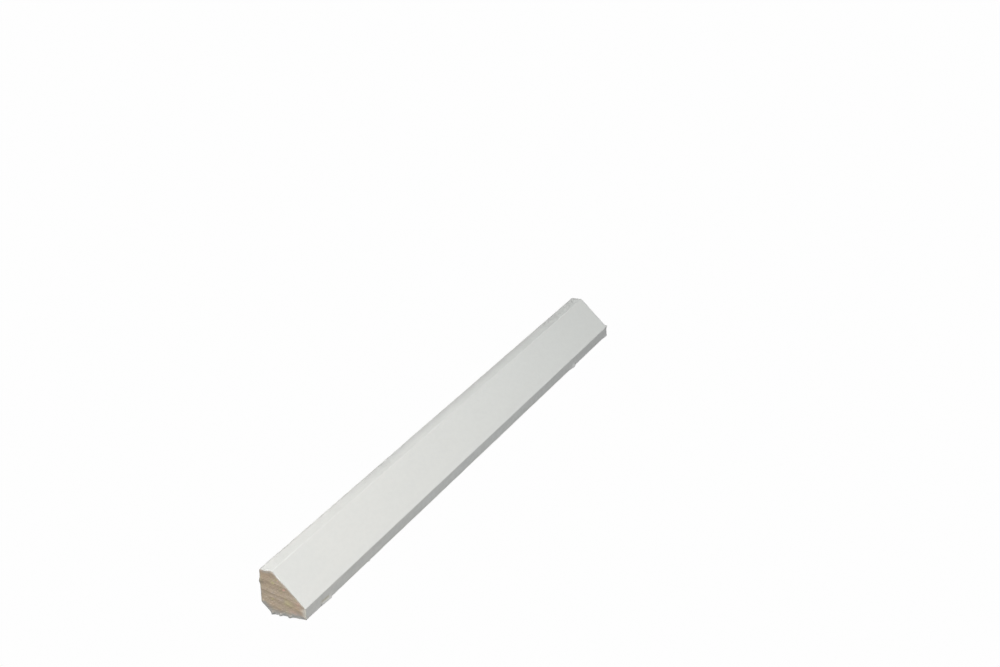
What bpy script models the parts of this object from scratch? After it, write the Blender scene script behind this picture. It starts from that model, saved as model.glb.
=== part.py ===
"""Corner moulding: one straight stick of painted softwood, sawn square at both ends.

Metres, +Z up. The stick lies along X and rests on its underside, with its sloping face
towards -Y and its upright back towards +Y. The origin is on the underside, below the
middle of the stick's box.

The section is a right-angled triangle whose two sharp tips are cut to small flats, and
whose right-angled corner is relieved by a chamfer, so that it clears the corner of the
walls that the moulding covers.
"""

import math

import bpy
from mathutils import Vector

# Driving dimensions
LENGTH = 0.305
WIDTH = 0.018
HEIGHT = 0.0175
TOP_FLAT = 0.0052  # its width
NOSE = 0.0046  # its height
RELIEF = 0.0044  # how far the chamfer runs along the back and along the underside

# Radius of each arris, named for the two faces that meet there
BACK_TOP_RADIUS = 0.0003
TOP_SLOPE_RADIUS = 0.0008
SLOPE_NOSE_RADIUS = 0.0004
NOSE_UNDERSIDE_RADIUS = 0.0004
UNDERSIDE_RELIEF_RADIUS = 0.0004
RELIEF_BACK_RADIUS = 0.0006
ARC_STEP = math.radians(7.5)  # the most that an arris turns between two points

# White satin paint
PAINT_COLOUR = (0.76, 0.76, 0.73, 1.0)
PAINT_ROUGHNESS = 0.45
PAINT_METALLIC = 0.0


def clear_scene():
    for obj in list(bpy.data.objects):
        bpy.data.objects.remove(obj, do_unlink=True)


def section_corners():
    """The section's sharp corners in the YZ plane with their radii, anticlockwise from
    the underside's nose end."""
    nose = -WIDTH / 2
    back = WIDTH / 2
    return [
        (Vector((nose, 0.0)), NOSE_UNDERSIDE_RADIUS),
        (Vector((back - RELIEF, 0.0)), UNDERSIDE_RELIEF_RADIUS),
        (Vector((back, RELIEF)), RELIEF_BACK_RADIUS),
        (Vector((back, HEIGHT)), BACK_TOP_RADIUS),
        (Vector((back - TOP_FLAT, HEIGHT)), TOP_SLOPE_RADIUS),
        (Vector((nose, NOSE)), SLOPE_NOSE_RADIUS),
    ]


def arris(before, corner, after, radius):
    """Points of the arc that rounds one corner of an anticlockwise outline."""
    way_in = (corner - before).normalized()
    way_out = (after - corner).normalized()
    turn = way_in.angle(way_out)
    start = corner - way_in * radius * math.tan(turn / 2)
    inward = Vector((-way_in.y, way_in.x))
    centre = start + inward * radius
    steps = math.ceil(turn / ARC_STEP - 1e-6)
    points = []
    for step in range(steps + 1):
        angle = turn * step / steps
        points.append(centre - inward * radius * math.cos(angle) + way_in * radius * math.sin(angle))
    return points


def rounded_outline(corners):
    points = []
    for i, (corner, radius) in enumerate(corners):
        before = corners[i - 1][0]
        after = corners[(i + 1) % len(corners)][0]
        points += arris(before, corner, after, radius)
    return points


def paint_material():
    material = bpy.data.materials.new("white_paint")
    material.use_nodes = True
    shader = material.node_tree.nodes["Principled BSDF"]
    shader.inputs["Base Color"].default_value = PAINT_COLOUR
    shader.inputs["Roughness"].default_value = PAINT_ROUGHNESS
    shader.inputs["Metallic"].default_value = PAINT_METALLIC
    return material


def moulding(collection):
    """The section as a flat outline, extruded both ways from the middle of the stick."""
    outline = bpy.data.curves.new("moulding_section", "CURVE")
    outline.dimensions = "2D"
    outline.fill_mode = "BOTH"
    outline.extrude = LENGTH / 2
    points = rounded_outline(section_corners())
    spline = outline.splines.new("POLY")
    spline.points.add(len(points) - 1)
    for target, point in zip(spline.points, points):
        target.co = (point.x, point.y, 0.0, 1.0)
    spline.use_cyclic_u = True
    outline.materials.append(paint_material())
    stick = bpy.data.objects.new("moulding", outline)
    # The outline is drawn in its own XY plane: this turns it into the YZ plane.
    stick.rotation_euler = (math.pi / 2, 0.0, math.pi / 2)
    collection.objects.link(stick)


def main():
    clear_scene()
    collection = bpy.data.collections.new("corner_moulding")
    bpy.context.scene.collection.children.link(collection)
    moulding(collection)


main()
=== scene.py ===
"""Looks of a corner moulding: one straight stick of softwood, painted white, sawn at both ends.

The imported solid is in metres: X runs along the stick, the sloping face looks towards -Y and
up, and the stick rests on its underside. The near end is the one at -X. The stick that shows
is one closed mesh, worked out here in millimetres: the section's outline is carried through
stations along X, each end is broken and closed by a sawn face, and fine relief is added.
"""

import math
from collections import namedtuple

import bpy
import numpy as np
from mathutils import Matrix, Vector, geometry

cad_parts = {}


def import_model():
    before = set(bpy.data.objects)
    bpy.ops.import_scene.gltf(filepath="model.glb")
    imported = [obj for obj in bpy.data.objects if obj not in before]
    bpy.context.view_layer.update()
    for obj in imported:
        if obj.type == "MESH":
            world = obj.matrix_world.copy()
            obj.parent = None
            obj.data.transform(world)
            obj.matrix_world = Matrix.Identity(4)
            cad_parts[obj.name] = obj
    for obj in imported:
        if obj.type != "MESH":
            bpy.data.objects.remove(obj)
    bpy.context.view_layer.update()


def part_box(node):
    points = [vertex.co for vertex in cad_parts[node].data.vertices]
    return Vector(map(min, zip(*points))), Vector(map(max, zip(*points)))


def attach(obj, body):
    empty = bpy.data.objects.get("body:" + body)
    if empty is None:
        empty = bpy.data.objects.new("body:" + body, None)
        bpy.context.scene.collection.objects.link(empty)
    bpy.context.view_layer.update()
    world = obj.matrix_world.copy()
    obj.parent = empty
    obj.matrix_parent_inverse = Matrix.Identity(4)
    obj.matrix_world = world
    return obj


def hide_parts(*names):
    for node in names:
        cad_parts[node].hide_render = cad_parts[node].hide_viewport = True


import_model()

NODE = "moulding"
MM = 0.001

# Extent of the solid, in millimetres
LOW, HIGH = (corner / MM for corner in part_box(NODE))
END = (HIGH.x - LOW.x) / 2
FRONT = LOW.y
BACK = HIGH.y
TOP = HIGH.z

# Section, in millimetres, as in the solid
TOP_FLAT = 5.2  # its width
NOSE = 4.6  # its height
RELIEF = 4.4  # how far the chamfer runs along the back and along the underside
Arris = namedtuple("Arris", "name y z radius")
ARRISES = (  # anticlockwise seen from +X
    Arris("nose_underside", FRONT, 0.0, 0.4),
    Arris("underside_relief", BACK - RELIEF, 0.0, 0.4),
    Arris("relief_back", BACK, RELIEF, 0.6),
    Arris("back_top", BACK, TOP, 0.3),
    Arris("top_slope", BACK - TOP_FLAT, TOP, 0.8),
    Arris("slope_nose", FRONT, NOSE, 0.4),
)

# Fineness of the mesh, in millimetres
OUTLINE_STEP = 0.35
ARC_STEP = math.radians(7.5)
STATION_STEP = 1.8  # along the plain stretches
END_STEP = 0.06  # at the ends, from where the steps grow
NUB_STEP = 0.25
BREAK_ROWS = 5  # rows that round the edge between an end and the sides
SAWN_STEP = 0.18  # between the points of a sawn face

# Growth rings: the pith lies below and behind the stick
PITH_Y = 26.8
PITH_Z = -87.5
RING_ENDS = (86.2, 89.1, 91.7, 94.3, 97.3, 99.1, 103.1, 106.6, 109.4)  # from the pith

# Nubs on the arris between nose and underside: a splinter, specks and a blob of paint
Nub = namedtuple("Nub", "x before after around out down")
NUBS = (
    Nub(-133.9, 5.0, 0.5, 0.9, 0.32, 0.35),
    Nub(-103.0, 0.7, 0.7, 0.6, 0.22, 0.2),
    Nub(108.8, 3.2, 1.6, 1.1, 0.5, 0.4),
    Nub(151.5, 3.5, 3.0, 0.8, 0.2, 0.2),
)

# Torn fibres along the ends' edges: they stand out of the sawn face, and lean over the edge
Burr = namedtuple("Burr", "side y z reach out lean_y lean_z")
BURRS = (
    Burr(-1, 4.5, 0.5, 0.5, 0.5, 0.45, -0.2),
    Burr(-1, 1.4, 0.4, 0.5, 0.6, 0.0, -0.35),
    Burr(-1, -2.5, 0.4, 0.8, 0.55, 0.0, -0.35),
    Burr(-1, 9.0, 12.9, 1.0, 0.25, 0.35, 0.0),
    Burr(1, -8.8, 4.5, 0.6, 1.5, 0.0, 0.2),
)

# Chips out of the near end's edge, by the run past an arris
Chip = namedtuple("Chip", "arris past reach inset")
CHIPS = (
    Chip("back_top", 2.4, 1.1, 0.2),
    Chip("top_slope", 3.2, 1.2, 0.25),
    Chip("slope_nose", 0.3, 0.5, 0.2),
)

# Blotches of the near end, each drawn out along the growth rings: wood tints, and painted shade by its edges
Blotch = namedtuple("Blotch", "tint y z along across share")
BLOTCHES = (
    Blotch("tan", 6.9, 15.0, 2.2, 1.4, 0.6),
    Blotch("tan", 6.6, 11.2, 1.8, 1.2, 0.4),
    Blotch("dark", 7.2, 12.4, 2.6, 0.8, 0.16),
    Blotch("dark", 7.8, 10.4, 1.2, 0.8, 0.1),
    Blotch("dark", 7.4, 8.6, 1.8, 0.9, 0.22),
    Blotch("tan", 5.1, 4.6, 1.6, 0.4, 0.6),
    Blotch("tan", -6.1, 3.9, 1.8, 0.5, 0.9),
    Blotch("pink", -0.55, 10.7, 0.45, 0.28, 1.0),
    Blotch("pink", 1.8, 13.9, 0.3, 0.25, 0.7),
    Blotch("pink", -6.2, 5.9, 1.0, 1.0, 0.25),
    Blotch("pink", -4.4, 2.1, 2.0, 0.6, 0.3),
    Blotch("olive", 3.7, 12.8, 0.6, 0.5, 0.9),
    Blotch("olive", 2.3, 14.2, 0.5, 0.5, 0.8),
    Blotch("olive", 4.3, 6.3, 0.6, 0.35, 0.9),
    Blotch("olive", -2.1, 5.5, 1.9, 1.0, 0.6),
    Blotch("mauve", 4.0, 8.8, 0.6, 0.45, 0.7),
    Blotch("mauve", 3.1, 7.7, 0.5, 0.4, 0.6),
    Blotch("mauve", 0.5, 6.3, 1.6, 0.9, 0.4),
    Blotch("pale", 8.15, 5.1, 0.22, 0.22, 1.0),
    Blotch("pale", 7.2, 6.8, 1.0, 0.35, 0.4),
    Blotch("pale", 4.4, 9.9, 2.4, 0.22, 0.25),
    Blotch("pale", -3.2, 8.1, 2.0, 0.25, 0.25),
    # The next four dark blotches are painted shadow: under the paint's lip along the top edge, and beside the
    # splinter at the back edge
    Blotch("dark", 6.6, 17.0, 0.4, 0.2, 0.9),
    Blotch("dark", 5.2, 16.7, 0.4, 0.2, 0.8),
    Blotch("dark", 3.2, 16.1, 0.5, 0.25, 0.5),
    Blotch("dark", 8.3, 12.5, 0.8, 0.6, 0.5),
    Blotch("dark", 1.0, 10.1, 0.4, 0.3, 0.7),
    # The shade blotches are painted shade along the back and bottom edges, under the burrs
    Blotch("shade", 8.9, 8.0, 0.3, 0.8, 0.7),
    Blotch("shade", 9.2, 12.4, 0.35, 1.0, 0.8),
    Blotch("shade", 8.2, 4.0, 0.5, 0.5, 0.5),
    Blotch("shade", 4.7, 0.3, 0.4, 0.35, 0.9),
    Blotch("shade", 1.6, 0.3, 0.5, 0.3, 0.8),
    Blotch("shade", -2.4, 0.4, 0.9, 0.3, 0.8),
    Blotch("shade", -6.8, 0.6, 1.1, 0.25, 0.6),
)


# Noise and small helpers

def ease(t):
    """A smooth step from 0 to 1 as t goes from 0 to 1."""
    t = np.clip(t, 0.0, 1.0)
    return t * t * (3 - 2 * t)


def bump(distance, reach):
    """A bell of height 1, which falls to a third at its reach."""
    return np.exp(-((distance / reach) ** 2))


def unit(v):
    return v / np.linalg.norm(v, axis=-1, keepdims=True)


def wander(seed, *places):
    """Smooth noise from -1 to 1 at places given by their coordinates, in cells of size 1."""
    table = np.random.default_rng(seed).uniform(-1, 1, 4096)
    cells = np.stack(np.broadcast_arrays(*places), -1)
    corner = np.floor(cells).astype(np.int64)
    share = ease(cells - corner)
    total = np.zeros(cells.shape[:-1])
    for pick in np.ndindex(*(2,) * len(places)):
        weight = np.prod(np.where(pick, share, 1 - share), -1)
        spots = ((corner + pick) * (73856093, 19349663, 83492791)[: len(places)]).sum(-1)
        total += weight * table[spots & 4095]
    return total


# The section

class Outline:
    """The rounded section as points with outward normals and the distance run round it."""

    def __init__(self):
        corners = [np.array([a.y, a.z]) for a in ARRISES]
        arcs = []
        for i, corner in enumerate(corners):
            arcs.append(self.arc(corners[i - 1], corner, corners[(i + 1) % len(corners)], ARRISES[i].radius))
        points, normals, middles = [], [], []
        for i, (arc_points, arc_normals) in enumerate(arcs):
            middles.append(len(points) + len(arc_points) // 2)
            points += arc_points
            normals += arc_normals
            start, stop = arc_points[-1], arcs[(i + 1) % len(arcs)][0][0]
            count = math.ceil(np.linalg.norm(stop - start) / OUTLINE_STEP)
            points += [start + (stop - start) * k / count for k in range(1, count)]
            normals += [arc_normals[-1]] * (count - 1)
        self.points = np.array(points)
        self.normals = np.array(normals)
        steps = np.linalg.norm(np.roll(self.points, -1, 0) - self.points, axis=1)
        self.run = np.concatenate([[0.0], np.cumsum(steps)[:-1]])
        self.length = steps.sum()
        self.middle = {arris.name: self.run[m] for arris, m in zip(ARRISES, middles)}
        self.soft_normals = self.smoothed(self.normals, steps)

    @staticmethod
    def arc(before, corner, after, radius):
        """Points and normals of the arc that rounds one corner."""
        way_in = unit(corner - before)
        way_out = unit(after - corner)
        turn = math.acos(way_in @ way_out)
        outward = np.array([way_in[1], -way_in[0]])
        centre = corner - way_in * radius * math.tan(turn / 2) - outward * radius
        angles = np.linspace(0.0, turn, math.ceil(turn / ARC_STEP) + 1)
        normals = [outward * math.cos(a) + way_in * math.sin(a) for a in angles]
        return [centre + radius * n for n in normals], normals

    def smoothed(self, normals, steps):
        """Normals averaged along the outline, so that an inset outline doesn't cross itself."""
        window = 1.5
        apart = np.abs(self.run[:, None] - self.run[None])
        apart = np.minimum(apart, self.length - apart)
        weights = bump(apart, window) * (steps + np.roll(steps, 1))
        return unit(weights @ normals)

    def past(self, name):
        """Run distance from the named arris to each point, below 0 before it."""
        half = self.length / 2
        return (self.run - self.middle[name] + half) % self.length - half


outline = Outline()
PAST = {arris.name: outline.past(arris.name) for arris in ARRISES}


def between(first, last, blur):
    """1 on the faces from one arris to another, anticlockwise, and 0 elsewhere."""
    start, whole = outline.middle[first], outline.length
    half_span = (outline.middle[last] - start) % whole / 2
    off_middle = (outline.run - start - half_span + whole / 2) % whole - whole / 2
    return ease((half_span - np.abs(off_middle)) / blur + 0.5)


# Stations along the stick

def station_step(x):
    """The distance from one station to the next."""
    steps = [STATION_STEP, END_STEP + 0.12 * (END - abs(x))]
    for nub in NUBS:
        beyond = max(nub.x - 1.5 * nub.before - x, x - nub.x - 1.5 * nub.after, 0.0)
        steps.append(NUB_STEP + 0.2 * beyond)
    return min(steps)


def stations():
    places = [-END]
    while places[-1] < END:
        places.append(places[-1] + station_step(places[-1]))
    places = np.array(places) + END
    return places * (2 * END / places[-1]) - END


# Relief of the sides

def arris_wave(x):
    """How far each arris wavers, as a push along the outline's normals."""
    push = 0.0
    for seed, (name, depth) in enumerate(
        (("nose_underside", 0.07), ("back_top", 0.05), ("top_slope", 0.04), ("slope_nose", 0.07),
         ("underside_relief", 0.08), ("relief_back", 0.06))
    ):
        wave = 0.6 * wander(seed, x / 7.0) + 0.4 * wander(seed + 50, x / 2.9)
        push = push + depth * wave * bump(PAST[name], 0.8)
    return push


def face_wave(x):
    """The slow unevenness that planing leaves in the faces, and the grain under the paint."""
    slow = 0.02 * wander(11, x / 45.0, outline.run / 7.0)
    grain = 0.004 * wander(12, x / 30.0, outline.run / 0.6)
    return slow + grain


def towards_back():
    """1 at the arris between the back and the top flat, falling to 0 across the flat."""
    above = PAST["back_top"]
    return np.where(above > 0, 1 - ease(above / 4.0), bump(above, 0.8))


def nub_push(x):
    """Pushes along Y and Z that raise the nubs on the lower arris."""
    out, down = 0.0, 0.0
    for nub in NUBS:
        reach = np.where(x < nub.x, nub.before, nub.after)
        height = bump(x - nub.x, reach) * bump(PAST["nose_underside"], nub.around)
        out = out - nub.out * height
        down = down - nub.down * height
    return out, down


def splinter_crease(x):
    """The crease above the splinter near the near end, from 0 to 1."""
    along = ease((x + 141.5) / 1.2) * ease((-134.6 - x) / 1.2)
    return along * bump(PAST["nose_underside"] + 1.35 - 0.05 * (x + 138), 0.35)


# The ends

def near_break():
    """Inset of the broken edge round the near end: wide on the nose, narrow elsewhere."""
    inset = 0.07 + 0.04 * wander(21, outline.run / 0.8)
    inset = inset + 0.35 * between("slope_nose", "nose_underside", 1.2)
    inset = inset + 0.35 * between("nose_underside", "underside_relief", 1.2)
    for chip in CHIPS:
        inset = inset + chip.inset * bump(PAST[chip.arris] - chip.past, chip.reach)
    return inset


def far_break():
    """Inset of the broken edge round the far end, which is rougher."""
    rough = 0.5 + 0.5 * wander(22, outline.run / 0.9)
    return 0.06 + 0.22 * rough


def latewood(x, y, z):
    """How dark the wood is, from 0 to 1: it darkens slowly through each ring and ends at once."""
    pith = np.hypot(y - PITH_Y, z - PITH_Z) + 0.35 * wander(31, x / 60.0, y / 4.0, z / 3.0)
    ends = np.array(RING_ENDS)
    ring = np.clip(np.searchsorted(ends, pith), 1, len(ends) - 1)
    start, end = ends[ring - 1], ends[ring]
    return ease((pith - start) / (end - start) * 1.5 - 0.3) * ease((end - pith) / 0.2)


def blotch(tint, y, z):
    """How strong one tint is on the near end's sawn face."""
    total = 0.0
    for spot in BLOTCHES:
        if spot.tint == tint:
            reach = math.hypot(spot.y - PITH_Y, spot.z - PITH_Z)
            radial = np.array([spot.y - PITH_Y, spot.z - PITH_Z]) / reach
            across = (y - spot.y) * radial[0] + (z - spot.z) * radial[1]
            along = (z - spot.z) * radial[0] - (y - spot.y) * radial[1]
            total = total + spot.share * bump(across, spot.across) * bump(along, spot.along)
    return np.clip(total, 0, 1)


def sawn_relief(x, y, z, seed):
    """How far a sawn face stands out: proud latewood, blade marks and torn fibres."""
    blade = np.sin(2 * math.pi * (0.85 * z + 0.52 * y + 0.02 * y * y) / 1.1 + 2 * wander(seed, y / 5, z / 5))
    fibres = wander(seed + 1, y / 0.35, z / 0.3)
    torn = wander(seed + 2, y / 1.5, z / 1.1)
    return 0.03 * latewood(x, y, z) + 0.015 * blade + 0.03 * fibres + 0.05 * torn


def burr_heights(side, y, z):
    """Each burr of one end, with its height from 0 to 1 at the given places."""
    return [(b, bump(np.hypot(y - b.y, z - b.z), b.reach)) for b in BURRS if b.side == side]


def end_relief(side, y, z):
    """Push of a sawn face along X, away from the stick."""
    sawn = sawn_relief(side * END, y, z, 40 if side < 0 else 60)
    return sawn + sum(burr.out * height for burr, height in burr_heights(side, y, z))


def break_rows(side, inset, ring):
    """Rows of points from the broken edge's start on the sides to its end on the sawn face."""
    rows = []
    for row in range(1, BREAK_ROWS + 1):
        angle = 0.5 * math.pi * row / BREAK_ROWS
        inward = inset * (1 - math.cos(angle))
        yz = ring[:, 1:] - outline.soft_normals * inward[:, None]
        x = side * (END - inset * (1 - math.sin(angle)))
        x = x + side * math.sin(angle) * end_relief(side, yz[:, 0], yz[:, 1])
        for burr, height in burr_heights(side, yz[:, 0], yz[:, 1]):
            yz = yz + math.sin(angle) * height[:, None] * (burr.lean_y, burr.lean_z)
        rows.append(np.column_stack([x, yz]))
    return rows


# The mesh

def side_rows():
    """Rows of points on the long faces, one row for each station."""
    x = stations()[:, None]
    inset_near, inset_far = near_break(), far_break()
    rough = arris_wave(x) + face_wave(x) - 0.12 * splinter_crease(x)
    out, down = nub_push(x)
    normals = outline.normals
    y = outline.points[:, 0] + rough * normals[:, 0] + out
    z = outline.points[:, 1] + rough * normals[:, 1] + down
    near = inset_near * (1 - ease((x + END) / 4.0))
    far = inset_far * (1 - ease((END - x) / 4.0))
    rows = np.stack([x + near - far, y, z], -1)
    return x[:, 0], inset_near, inset_far, rows


def depth_inside(ring, places):
    """Distance from each place to an anticlockwise outline, below 0 outside it, and the
    number of the outline's point where the nearest edge starts."""
    edges = np.roll(ring, -1, 0) - ring
    reach = places[:, None] - ring
    share = np.clip((reach * edges).sum(-1) / (edges * edges).sum(-1), 0, 1)
    apart = np.linalg.norm(reach - share[..., None] * edges, axis=-1)
    nearest = apart.argmin(1)
    each = np.arange(len(places))
    left = edges[nearest, 0] * reach[each, nearest, 1] - edges[nearest, 1] * reach[each, nearest, 0]
    return apart[each, nearest] * np.sign(left), nearest


def sawn_face(ring):
    """Points inside one end's outline, their distance from it, the outline's point nearest to
    each, and triangles over them and the outline's own points."""
    low, high = ring.min(0), ring.max(0)
    rows = np.arange(low[1], high[1], SAWN_STEP * math.sqrt(3) / 2)
    inner = []
    for k, z in enumerate(rows):
        for y in np.arange(low[0] + (k % 2) * SAWN_STEP / 2, high[0], SAWN_STEP):
            inner.append((y, z))
    inner = np.array(inner)
    depth, nearest = depth_inside(ring, inner)
    clear = depth > 0.6 * SAWN_STEP
    inner, depth, nearest = inner[clear], depth[clear], nearest[clear]
    count = len(ring)
    points = [Vector(p) for p in ring] + [Vector(p) for p in inner]
    kind_triangles_inside = 1
    made = geometry.delaunay_2d_cdt(points, [], [list(range(count))], kind_triangles_inside, 1e-6)
    source = [ids[0] for ids in made[3]]
    return inner, depth, nearest, [[source[v] for v in face] for face in made[2]]


def moulding_mesh():
    x, inset_near, inset_far, sides = side_rows()
    near = break_rows(-1, inset_near, sides[0])
    far = break_rows(1, inset_far, sides[-1])
    rows = np.stack(near[::-1] + list(sides) + far)
    rows[..., 2] = np.maximum(rows[..., 2], 0.0)
    grid = np.arange(rows.shape[0] * rows.shape[1]).reshape(rows.shape[:2])
    following = np.roll(grid, -1, 1)
    quads = np.stack([grid[:-1], following[:-1], following[1:], grid[1:]], -1).reshape(-1, 4)
    faces = quads.tolist()
    sawn_from = len(faces)
    vertices = [rows.reshape(-1, 3)]
    marks = [(grid.ravel(), side_marks(*np.moveaxis(rows, -1, 0)))]
    total = grid.size
    for side, end_row in ((-1, 0), (1, -1)):
        ring = rows[end_row, :, 1:]
        inner, depth, nearest, triangles = sawn_face(ring)
        places = np.concatenate([grid[end_row], np.arange(total, total + len(inner))])
        total += len(inner)
        vertices.append(np.column_stack([side * (END + end_relief(side, *inner.T)), inner]))
        depth = np.concatenate([np.zeros(len(ring)), depth])
        nearest = np.concatenate([np.arange(len(ring)), nearest])
        marks.append((places, end_marks(side, *np.concatenate([ring, inner]).T, depth, nearest)))
        turned = [t if side > 0 else t[::-1] for t in triangles]
        faces += places[np.array(turned)].tolist()
    mesh = bpy.data.meshes.new("moulding_stick")
    mesh.from_pydata(np.concatenate(vertices) * MM, [], faces)
    slots = np.zeros(len(faces), np.int32)
    slots[sawn_from:] = 1
    mesh.polygons.foreach_set("material_index", slots)
    mesh.shade_smooth()
    store_marks(mesh, marks)
    return mesh


def side_marks(x, y, z):
    """Where the coat is thin or missing, where shade is painted on, and the rings that it covers, from 0 to 1."""
    lower, upper = PAST["nose_underside"], PAST["back_top"]
    edge_noise = 0.5 + 0.5 * wander(71, x / 1.3, outline.run / 0.5)
    long_noise = 0.5 + 0.5 * wander(72, x / 9.0, outline.run / 2.0)
    nose = between("slope_nose", "nose_underside", 0.6)
    # Painted shade, speckled: a dark line along the back arris, strongest near the near end; a faint one along the
    # lower arris; dark spots on the lower arris by the splinter and towards the far end; the far end's edge and its
    # nose; and the near end's upper edges.
    dirt = (1.0 - 0.6 * ease((x + END) / 150)) * bump(upper - 0.35, 0.25) * edge_noise
    dirt = dirt + 0.12 * bump(lower + 0.1, 0.35) * long_noise
    dirt = dirt + 0.8 * bump(np.hypot(x + 141.2, lower + 0.5), 0.5)
    dirt = dirt + 0.6 * bump(np.hypot(x - 94.0, lower + 0.4), 0.45)
    dirt = dirt + 0.7 * bump(np.hypot(x - 110.4, lower + 0.9), 0.5)
    dirt = dirt + 0.35 * nose * ease((x - END + 1.4) / 0.6)
    dirt = dirt + (0.12 + 0.25 * edge_noise) * ease((x - END + 0.9) / 0.7)
    cut = between("back_top", "slope_nose", 0.6) * (0.2 + 0.35 * edge_noise)
    dirt = dirt + cut * ease((0.3 - END - x) / 0.3)
    # Painted shade: the top flat greys towards the back arris, fading in from the near end and weaker in the far
    # part.
    worn = towards_back() * ease((x + 105.0) / 60.0) * (1 - 0.5 * ease((x - 60.0) / 50.0))
    bare = 0.8 * splinter_crease(x)
    bare = bare + 0.5 * nose * ease((0.5 - END - x) / 0.4)
    thin = between("nose_underside", "back_top", 0.8) + 0 * x
    return {"thin": thin, "worn": worn, "nose": nose + 0 * x, "dirt": dirt, "bare": bare, "late": latewood(x, y, z)}


def end_marks(side, y, z, depth, nearest):
    """The rings of a sawn face, its rims and, at the near end, its blotches, some of them painted shade.
    Paint has soaked into the rim beside the painted faces; the rims beside the back and the underside, and a band
    below the top flat, are greyed with painted shade."""
    below = between("nose_underside", "relief_back", 1.5)[nearest]
    coated = between("back_top", "nose_underside", 1.0)[nearest]
    nose = between("slope_nose", "nose_underside", 1.0)[nearest]
    top = between("back_top", "top_slope", 1.0)[nearest]
    ragged = 1 + 0.3 * wander(81, y / 0.6, z / 0.6)
    marks = {"late": latewood(side * END, y, z)}
    marks["soaked"] = (0.5 * coated - 0.2 * top + 0.2 * nose) * bump(depth, ragged * (0.5 + 0.8 * nose))
    # Painted shade: grey rims beside the back and the underside, and a grey band below the top flat.
    grey = (0.5 + 0.45 * below - 0.5 * coated) * bump(depth, ragged * (0.4 + 1.2 * below))
    marks["grey"] = grey + 0.35 * top * bump(depth - 0.5, 0.5)
    if side < 0:
        for tint in sorted({spot.tint for spot in BLOTCHES}):
            marks[tint] = blotch(tint, y, z)
    return marks


def store_marks(mesh, marks):
    """Stores the marks as attributes: pairs of vertex numbers and the marks' values there."""
    for name in sorted({name for _, found in marks for name in found}):
        values = np.zeros(len(mesh.vertices), np.float32)
        for places, found in marks:
            if name in found:
                values[places] = np.clip(found[name], 0, 1).ravel()
        mesh.attributes.new(name, "FLOAT", "POINT").data.foreach_set("value", values)


# Materials

def feed(tree, socket, value):
    """Links a node's output to a socket, or sets the socket's own value."""
    if isinstance(value, bpy.types.NodeSocket):
        tree.links.new(value, socket)
    else:
        socket.default_value = value


def calc(tree, operation, *values):
    node = tree.nodes.new("ShaderNodeMath")
    node.operation = operation
    for socket, value in zip(node.inputs, values):
        feed(tree, socket, value)
    return node.outputs["Value"]


def remap(tree, value, from_low, from_high, to_low=0.0, to_high=1.0):
    node = tree.nodes.new("ShaderNodeMapRange")
    node.interpolation_type = "SMOOTHSTEP"
    for name, given in (
        ("Value", value), ("From Min", from_low), ("From Max", from_high), ("To Min", to_low), ("To Max", to_high)
    ):
        feed(tree, node.inputs[name], given)
    return node.outputs["Result"]


def mix(tree, share, first, second):
    node = tree.nodes.new("ShaderNodeMix")
    node.data_type = "RGBA"
    for place, value in ((0, share), (6, first), (7, second)):
        feed(tree, node.inputs[place], value)
    return node.outputs[2]


def scaled(tree, coordinates, x, y, z):
    """Object coordinates in metres, divided into cells of the given size in millimetres."""
    node = tree.nodes.new("ShaderNodeVectorMath")
    node.operation = "MULTIPLY"
    feed(tree, node.inputs[0], coordinates)
    node.inputs[1].default_value = (1 / (x * MM), 1 / (y * MM), 1 / (z * MM))
    return node.outputs["Vector"]


def noise(tree, coordinates, cell, detail=2.0, roughness=0.5):
    """Noise from 0 to 1 in cells of the given size along X, Y and Z, in millimetres."""
    node = tree.nodes.new("ShaderNodeTexNoise")
    feed(tree, node.inputs["Vector"], scaled(tree, coordinates, *cell))
    node.inputs["Scale"].default_value = 1.0
    node.inputs["Detail"].default_value = detail
    node.inputs["Roughness"].default_value = roughness
    return node.outputs["Fac"]


def mark(tree, name):
    node = tree.nodes.new("ShaderNodeAttribute")
    node.attribute_name = name
    return node.outputs["Fac"]


def new_material(name):
    """A material with a Principled shader, and the object coordinates."""
    material = bpy.data.materials.new(name)
    material.use_nodes = True
    tree = material.node_tree
    shader = tree.nodes["Principled BSDF"]
    coordinates = tree.nodes.new("ShaderNodeTexCoord").outputs["Object"]
    return material, tree, shader, coordinates


def relief(tree, shader, height, depth):
    """Bumps of the given depth in metres, from a height between 0 and 1."""
    node = tree.nodes.new("ShaderNodeBump")
    node.inputs["Strength"].default_value = 1.0
    node.inputs["Distance"].default_value = depth
    feed(tree, node.inputs["Height"], height)
    tree.links.new(node.outputs["Normal"], shader.inputs["Normal"])


# Painted light: the coat is warmer at the near end and cooler at the far end, standing in for the light's colour
PAINT_WARM_LIGHT_NEAR = (0.79, 0.79, 0.758, 1)
PAINT_COOL_LIGHT_FAR = (0.772, 0.79, 0.766, 1)
PAINT_SHADE = (0.755, 0.765, 0.74, 1)
# Greyer coat: painted shade on the top flat by the back arris, and the nose's random mottle
PAINT_MOTTLE_AND_SHADE = (0.67, 0.68, 0.66, 1)
# Painted light: a lighter, cooler coat for the nose
PAINT_NOSE_LIT = (0.80, 0.815, 0.80, 1)
# Grey of the painted shade along the arrises, by the nubs and on the ends' edges
EDGE_SHADE_GREY = (0.30, 0.30, 0.28, 1)
UNDER_WOOD = (0.60, 0.52, 0.40, 1)
BARE_WOOD = (0.56, 0.53, 0.40, 1)
EARLYWOOD = (0.465, 0.378, 0.288, 1)
LATEWOOD = (0.385, 0.305, 0.224, 1)
SOAKED_RIM = (0.62, 0.60, 0.55, 1)
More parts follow.
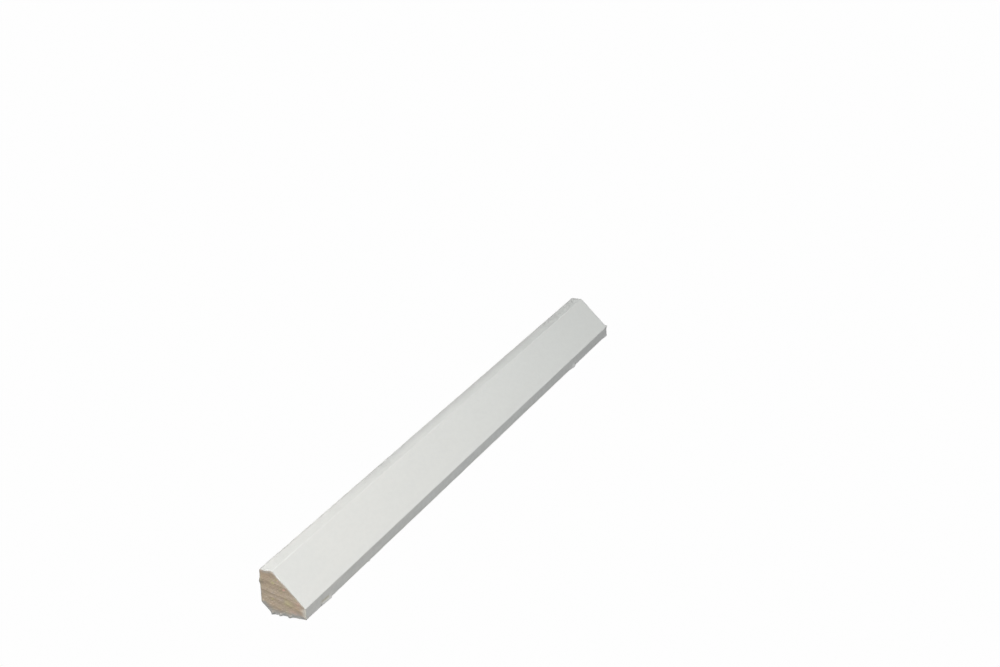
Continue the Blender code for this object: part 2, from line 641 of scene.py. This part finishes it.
# Grey of the painted shade on the sawn faces' rims
RIM_SHADE_GREY = (0.33, 0.335, 0.325, 1)
TINTS = {  # of the near end's blotches
    "tan": (0.45, 0.34, 0.24, 1),
    "pink": (0.70, 0.40, 0.33, 1),
    "olive": (0.46, 0.42, 0.23, 1),
    "mauve": (0.42, 0.36, 0.32, 1),
    "pale": (0.70, 0.63, 0.50, 1),
    "dark": (0.25, 0.21, 0.165, 1),
    # painted shade along the near end's back and bottom edges
    "shade": (0.17, 0.165, 0.155, 1),
}


def paint_colour(tree, coordinates, mottle):
    """The white coat: cloudy, and mottled on the nose. Painted light: slightly cooler towards the
    far end, for warmer light at the near end, and a lighter, cooler nose.
    """
    flat = tree.nodes.new("ShaderNodeSeparateXYZ")
    feed(tree, flat.inputs[0], coordinates)
    # Painted light: a warmer tint towards the near end, cooler towards the far end.
    colour = mix(tree, remap(tree, flat.outputs["X"], -END * MM, END * MM), PAINT_WARM_LIGHT_NEAR, PAINT_COOL_LIGHT_FAR)
    cloudy = noise(tree, coordinates, (26, 9, 9), 3)
    colour = mix(tree, remap(tree, cloudy, 0.4, 0.7, 0.0, 0.35), colour, PAINT_SHADE)
    nose = mark(tree, "nose")
    # Painted light: the nose turns lighter and cooler from the near end towards the middle, and stays so over the
    # far half.
    colour = mix(tree, calc(tree, "MULTIPLY", nose, remap(tree, flat.outputs["X"], -0.12, 0.0)), colour, PAINT_NOSE_LIT)
    blotchy = calc(tree, "MULTIPLY_ADD", nose, 0.25, 0.1)
    return mix(tree, calc(tree, "MULTIPLY", blotchy, remap(tree, mottle, 0.4, 0.65)), colour, PAINT_MOTTLE_AND_SHADE)


def paint_material():
    """Satin white paint, thinner on the back, the relief and the underside."""
    material, tree, shader, coordinates = new_material("white_paint")
    thin, worn, dirt, bare, late = (mark(tree, name) for name in ("thin", "worn", "dirt", "bare", "late"))
    mottle = noise(tree, coordinates, (2.4, 1.6, 1.6), 2)
    # Painted shade greys the top flat towards the back arris.
    colour = mix(tree, worn, paint_colour(tree, coordinates, mottle), PAINT_MOTTLE_AND_SHADE)
    grain = noise(tree, coordinates, (40, 0.5, 0.5), 3, 0.6)
    streak = calc(tree, "MULTIPLY", late, remap(tree, grain, 0.3, 0.7))
    show = calc(tree, "MULTIPLY", thin, calc(tree, "MULTIPLY_ADD", streak, 0.35, 0.08))
    colour = mix(tree, show, colour, UNDER_WOOD)
    # Painted shade along the arrises and edges, speckled, where the coat is also a little rougher
    speck = noise(tree, coordinates, (0.7, 0.4, 0.4), 2)
    edge_shaded = calc(tree, "MULTIPLY", dirt, remap(tree, speck, 0.25, 0.6, 0.6, 1.0))
    colour = mix(tree, edge_shaded, colour, EDGE_SHADE_GREY)
    colour = mix(tree, bare, colour, BARE_WOOD)
    feed(tree, shader.inputs["Base Color"], colour)
    rough = calc(tree, "MULTIPLY_ADD", thin, 0.2, remap(tree, mottle, 0.3, 0.7, 0.40, 0.48))
    feed(tree, shader.inputs["Roughness"], calc(tree, "MULTIPLY_ADD", edge_shaded, 0.2, rough))
    peel = noise(tree, coordinates, (1.1, 0.7, 0.7), 2)
    height = calc(tree, "MULTIPLY_ADD", grain, calc(tree, "MULTIPLY_ADD", thin, 0.8, 0.25), peel)
    relief(tree, shader, height, 0.000012)
    return material


def end_grain_material():
    """Bare softwood sawn across its grain."""
    material, tree, shader, coordinates = new_material("sawn_end_grain")
    late = mark(tree, "late")
    colour = mix(tree, late, EARLYWOOD, LATEWOOD)
    warm = noise(tree, coordinates, (20, 2.6, 1.6), 2)
    colour = mix(tree, remap(tree, warm, 0.5, 0.72, 0.0, 0.4), colour, TINTS["tan"])
    cool = noise(tree, coordinates, (15, 1.9, 2.8), 2)
    colour = mix(tree, remap(tree, cool, 0.52, 0.74, 0.0, 0.4), colour, TINTS["olive"])
    fibre = noise(tree, coordinates, (6, 0.28, 0.28), 3, 0.7)
    colour = mix(tree, remap(tree, fibre, 0.5, 0.72, 0.0, 0.4), colour, TINTS["dark"])
    colour = mix(tree, remap(tree, fibre, 0.5, 0.3, 0.0, 0.3), colour, TINTS["pale"])
    # The blotches' tints; the shade blotches and a few dark ones are painted shade.
    for tint, tint_colour in TINTS.items():
        colour = mix(tree, mark(tree, tint), colour, tint_colour)
    # Painted shade: the grey rims of the sawn face.
    colour = mix(tree, mark(tree, "grey"), colour, RIM_SHADE_GREY)
    colour = mix(tree, mark(tree, "soaked"), colour, SOAKED_RIM)
    feed(tree, shader.inputs["Base Color"], colour)
    feed(tree, shader.inputs["Roughness"], remap(tree, fibre, 0.3, 0.7, 0.75, 0.9))
    relief(tree, shader, calc(tree, "MULTIPLY_ADD", late, 0.5, fibre), 0.00004)
    return material


def moulding_stick():
    mesh = moulding_mesh()
    mesh.materials.append(paint_material())
    mesh.materials.append(end_grain_material())
    stick = bpy.data.objects.new("moulding_stick", mesh)
    bpy.context.scene.collection.objects.link(stick)
    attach(stick, "root")
    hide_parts(NODE)
    return stick


# The stage: a white floor and a white backdrop, which only the camera sees

FLOOR_RADIUS = 4.0
FLOOR_DROP = 0.00005
BACKDROP_RADIUS = 6.0
STAGE_GLOW = 0.99
WORLD_STRENGTH = 0.06


def stage_material(name):
    """A white glow, and clear from behind."""
    material = bpy.data.materials.new(name)
    material.use_nodes = True
    tree = material.node_tree
    tree.nodes.remove(tree.nodes["Principled BSDF"])
    glow = tree.nodes.new("ShaderNodeEmission")
    glow.inputs["Strength"].default_value = STAGE_GLOW
    choose = tree.nodes.new("ShaderNodeMixShader")
    feed(tree, choose.inputs[0], tree.nodes.new("ShaderNodeNewGeometry").outputs["Backfacing"])
    feed(tree, choose.inputs[1], glow.outputs[0])
    feed(tree, choose.inputs[2], tree.nodes.new("ShaderNodeBsdfTransparent").outputs[0])
    feed(tree, tree.nodes["Material Output"].inputs["Surface"], choose.outputs[0])
    return material


def camera_only(obj):
    """The stage doesn't shade, mirror or tint the stick."""
    obj.visible_diffuse = False
    obj.visible_glossy = False
    obj.visible_transmission = False
    obj.visible_shadow = False


def stage():
    bpy.ops.mesh.primitive_circle_add(
        vertices=96, radius=FLOOR_RADIUS, fill_type="NGON", location=(0, 0, -FLOOR_DROP)
    )
    floor = bpy.context.object
    floor.name = "floor"
    floor.data.materials.append(stage_material("white_floor"))
    camera_only(floor)
    bpy.ops.mesh.primitive_uv_sphere_add(segments=64, ring_count=32, radius=BACKDROP_RADIUS)
    backdrop = bpy.context.object
    backdrop.name = "backdrop"
    backdrop.data.flip_normals()
    backdrop.data.materials.append(stage_material("white_backdrop"))
    camera_only(backdrop)


def world():
    made = bpy.data.worlds.new("soft_white")
    made.use_nodes = True
    background = made.node_tree.nodes["Background"]
    background.inputs["Color"].default_value = (1, 1, 1, 1)
    background.inputs["Strength"].default_value = WORLD_STRENGTH
    bpy.context.scene.world = made


Light = namedtuple("Light", "name place aim size power")
LIGHTS = (
    Light("key", (-0.2, -0.5, 0.7), (0.0, 0.0, 0.01), 0.5, 7.2),
    Light("end_light", (-0.8, 0.2, 0.3), (-0.1, 0.0, 0.01), 0.3, 4.6),
    Light("fill", (0.5, 0.8, -0.5), (0.0, 0.0, 0.01), 0.8, 6.0),
)


def soft_lights():
    for light in LIGHTS:
        data = bpy.data.lights.new(light.name, "AREA")
        data.shape = "SQUARE"
        data.size = light.size
        data.energy = light.power
        lamp = bpy.data.objects.new(light.name, data)
        lamp.location = light.place
        lamp.rotation_euler = (Vector(light.aim) - Vector(light.place)).to_track_quat("-Z", "Y").to_euler()
        lamp.visible_camera = False
        bpy.context.scene.collection.objects.link(lamp)


# The camera, from the photograph's vanishing points and the stick's corners

CAMERA_PLACE = (-0.69155, -0.32885, 0.34028)
CAMERA_AZIMUTH = math.radians(24.061)  # from +X towards +Y
CAMERA_PITCH = math.radians(20.533)  # below the horizon
CAMERA_ROLL = math.radians(-1.804)
CAMERA_LENS = 70.859  # on a sensor 36 mm wide


def photo_camera():
    data = bpy.data.cameras.new("photo_camera")
    data.lens = CAMERA_LENS
    camera = bpy.data.objects.new("photo_camera", data)
    turn = Matrix.Rotation(CAMERA_AZIMUTH - math.pi / 2, 4, "Z")
    tilt = Matrix.Rotation(math.pi / 2 - CAMERA_PITCH, 4, "X")
    roll = Matrix.Rotation(CAMERA_ROLL, 4, "Z")
    camera.matrix_world = Matrix.Translation(CAMERA_PLACE) @ turn @ tilt @ roll
    bpy.context.scene.collection.objects.link(camera)
    bpy.context.scene.camera = camera


moulding_stick()
stage()
world()
soft_lights()
photo_camera()
bpy.context.scene.view_settings.view_transform = "Standard"
